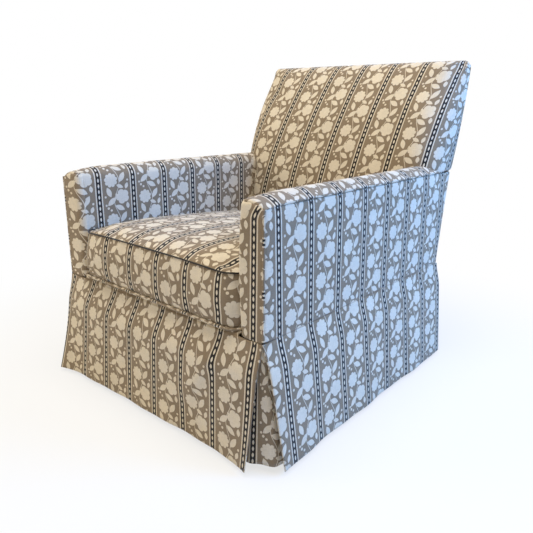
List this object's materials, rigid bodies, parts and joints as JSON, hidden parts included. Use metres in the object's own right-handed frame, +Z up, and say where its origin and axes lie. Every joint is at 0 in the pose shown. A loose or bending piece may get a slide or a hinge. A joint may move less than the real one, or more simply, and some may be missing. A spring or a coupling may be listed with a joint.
{
  "type": "swivel armchair",
  "caption": "Upholstered swivel armchair with track arms, a raked tight back, a loose welted box cushion and a pleated skirt over a ball-bearing base.",
  "frame": {"origin": "point on the floor on the swivel axis, at the middle of the chair's plan", "axes": "+Z up along the swivel axis, -Y towards the front of the seat, +X to the right of someone facing the chair's front"},
  "size_m": [0.866, 1.016, 0.95],
  "materials": {
    "printed_linen": "matte",
    "hardwood": "matte",
    "black_steel": "satin",
    "black_nylon": "matte",
    "natural_nylon": "satin",
    "zinc_steel": "satin",
    "bearing_steel": "polished",
    "spring_steel": "satin",
    "webbing": "matte",
    "black_cambric": "matte",
    "foam": "matte",
    "wadding": "matte",
    "deck_cloth": "matte",
    "brass": "satin"
  },
  "bodies": {
    "base": {"base_spider": "black_steel", "floor_glides": "black_nylon", "lower_bearing_plate": "zinc_steel", "king_bolt": "zinc_steel", "king_washer": "zinc_steel", "king_nut": "zinc_steel", "base_bolts": "zinc_steel"},
    "cage": {"ball_cage": "natural_nylon", "bearing_balls": "bearing_steel"},
    "chair": {"back_lower_rail": "hardwood", "back_top_rail": "hardwood", "back_webbing": "webbing", "corner_blocks": "hardwood", "dust_cover": "black_cambric", "frame_bolts": "zinc_steel", "front_edge_roll": "printed_linen", "front_left_pleat": "printed_linen", "front_rail": "hardwood", "front_rail_pad": "wadding", "front_right_pleat": "printed_linen", "inside_back": "printed_linen", "left_arm_facing": "printed_linen", "left_arm_lower_rail": "hardwood", "left_arm_post": "hardwood", "left_arm_rail": "hardwood", "left_arm_wrap": "printed_linen", "left_back_post": "hardwood", "left_outside_arm": "printed_linen", "left_side_rail": "hardwood", "left_stringer": "hardwood", "outside_back": "printed_linen", "rear_left_pleat": "printed_linen", "rear_rail": "hardwood", "rear_right_pleat": "printed_linen", "right_arm_facing": "printed_linen", "right_arm_lower_rail": "hardwood", "right_arm_post": "hardwood", "right_arm_rail": "hardwood", "right_arm_wrap": "printed_linen", "right_back_post": "hardwood", "right_outside_arm": "printed_linen", "right_side_rail": "hardwood", "right_stringer": "hardwood", "seat_deck": "deck_cloth", "seat_springs": "spring_steel", "skirt_back": "printed_linen", "skirt_front": "printed_linen", "skirt_left": "printed_linen", "skirt_right": "printed_linen", "skirt_tack_strips": "hardwood", "spring_cleat": "hardwood", "spring_clips": "spring_steel", "upper_bearing_plate": "zinc_steel"},
    "cushion": {"cushion_cover": "printed_linen", "cushion_foam": "foam", "cushion_top_welt": "printed_linen", "cushion_bottom_welt": "printed_linen", "cushion_zip": "black_nylon"},
    "slider": {"zip_slider": "brass"}
  },
  "joints": [
    {"name": "swivel", "type": "hinge", "parent": "base", "child": "chair", "pos_m": [0, 0, 0.138], "axis": [0, 0, 1], "continuous": true},
    {"name": "cage_turn", "type": "hinge", "parent": "base", "child": "cage", "pos_m": [0, 0, 0.138], "axis": [0, 0, 1], "continuous": true},
    {"name": "cushion_lift", "type": "slide", "parent": "chair", "child": "cushion", "axis": [0, 0, 1], "range_m": [0, 0.35]},
    {"name": "zip_slide", "type": "slide", "parent": "cushion", "child": "slider", "axis": [1, 0, 0], "range_m": [0, 0.4]}
  ],
  "couplings": [
    {"joint": "cage_turn", "follows": "swivel", "ratio": 0.5}
  ]
}
